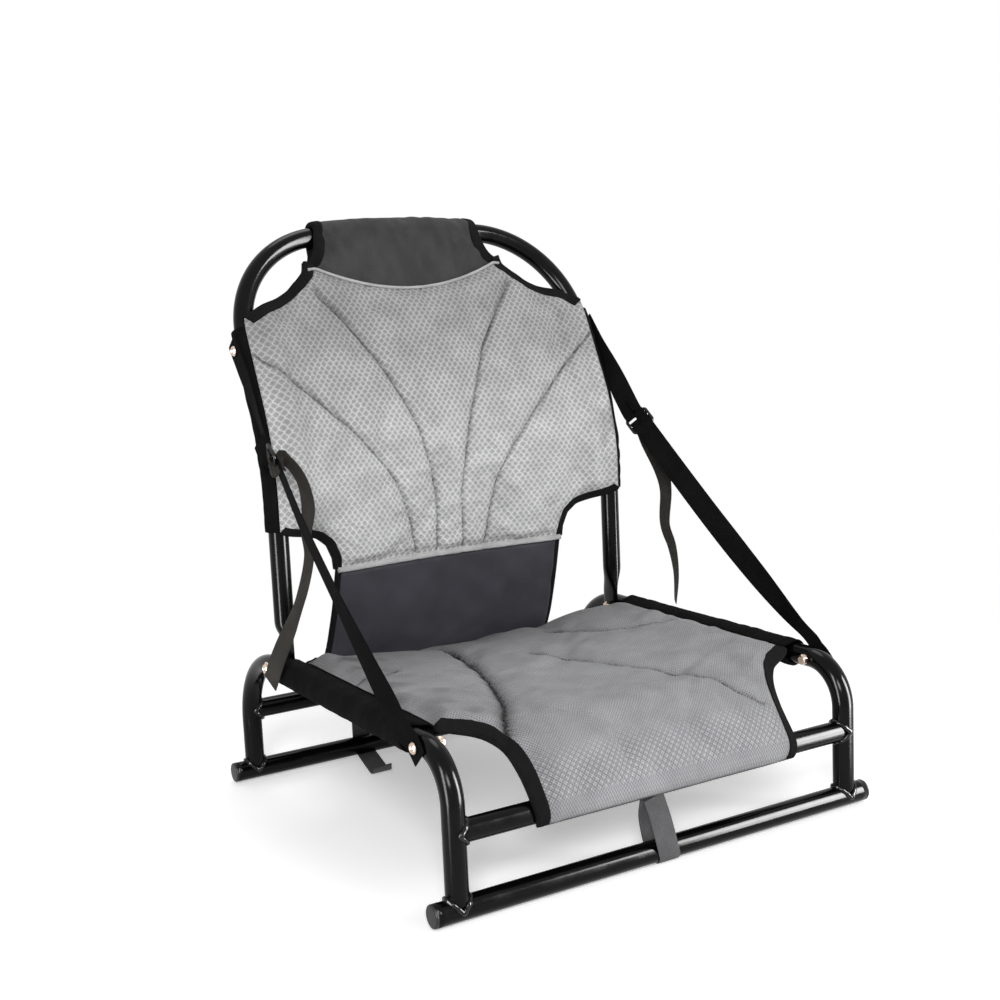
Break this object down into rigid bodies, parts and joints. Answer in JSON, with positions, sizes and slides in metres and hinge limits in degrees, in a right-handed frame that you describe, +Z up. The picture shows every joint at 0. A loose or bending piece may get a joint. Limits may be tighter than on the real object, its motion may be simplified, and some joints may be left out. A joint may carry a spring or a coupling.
{
  "type": "kayak seat",
  "caption": "Raised sling seat on a tube base with a padded folding back, held upright by two webbing straps with ladder locks, and webbing loops that hold the base down.",
  "frame": {"origin": "centre of the footprint on the ground", "axes": "+X across the seat to the side that is on the right in the picture, -Y the way the sitter faces, +Z up"},
  "size_m": [0.52, 0.5313, 0.6373],
  "materials": {
    "tube_paint": "satin black powder coat with brighter weld beads",
    "plastic": "moulded black plastic",
    "fastener_steel": "warm bright plated steel",
    "webbing": "woven black webbing",
    "mesh_cloth": "light grey open mesh with a diamond grid",
    "seat_cloth": "mid grey fine ribbed cloth",
    "head_cloth": "charcoal plain weave with gathers",
    "lumbar_cloth": "dark slate smooth coated cloth",
    "black_cloth": "black plain weave",
    "piping_cord": "light grey covered cord"
  },
  "bodies": {
    "base": {"front_cross_tube": "tube_paint", "front_foot_tube": "tube_paint", "front_hold_down_strap": "webbing", "front_left_foot_plug": "plastic", "front_right_foot_plug": "plastic", "left_main_strap": "webbing", "left_pivot_bolt": "fastener_steel", "left_pivot_nut": "fastener_steel", "left_pivot_spacer": "plastic", "left_pivot_washer": "fastener_steel", "left_side_frame": "tube_paint", "left_strap_bolt": "fastener_steel", "left_strap_nut": "fastener_steel", "lumbar_panel": "lumbar_cloth", "rear_cross_tube": "tube_paint", "rear_foot_tube": "tube_paint", "rear_hold_down_strap": "webbing", "rear_left_foot_plug": "plastic", "rear_right_foot_plug": "plastic", "right_main_strap": "webbing", "right_pivot_bolt": "fastener_steel", "right_pivot_nut": "fastener_steel", "right_pivot_spacer": "plastic", "right_pivot_washer": "fastener_steel", "right_side_frame": "tube_paint", "right_strap_bolt": "fastener_steel", "right_strap_nut": "fastener_steel", "seat_lining": "black_cloth", "seat_pad": "seat_cloth"},
    "back": {"back_frame": "tube_paint", "back_lining": "black_cloth", "back_pad": "mesh_cloth", "head_piping": "piping_cord", "head_sleeve": "head_cloth", "left_ladder_lock": "plastic", "left_strap_screw": "fastener_steel", "left_upper_strap": "webbing", "lumbar_piping": "piping_cord", "right_ladder_lock": "plastic", "right_strap_screw": "fastener_steel", "right_upper_strap": "webbing"}
  },
  "joints": [
    {"name": "back_fold", "type": "hinge", "parent": "base", "child": "back", "pos_m": [0, 0.1415, 0.152], "axis": [1, 0, 0], "range_deg": [0, 30], "deforming": ["left_main_strap", "right_main_strap", "lumbar_panel"]}
  ]
}
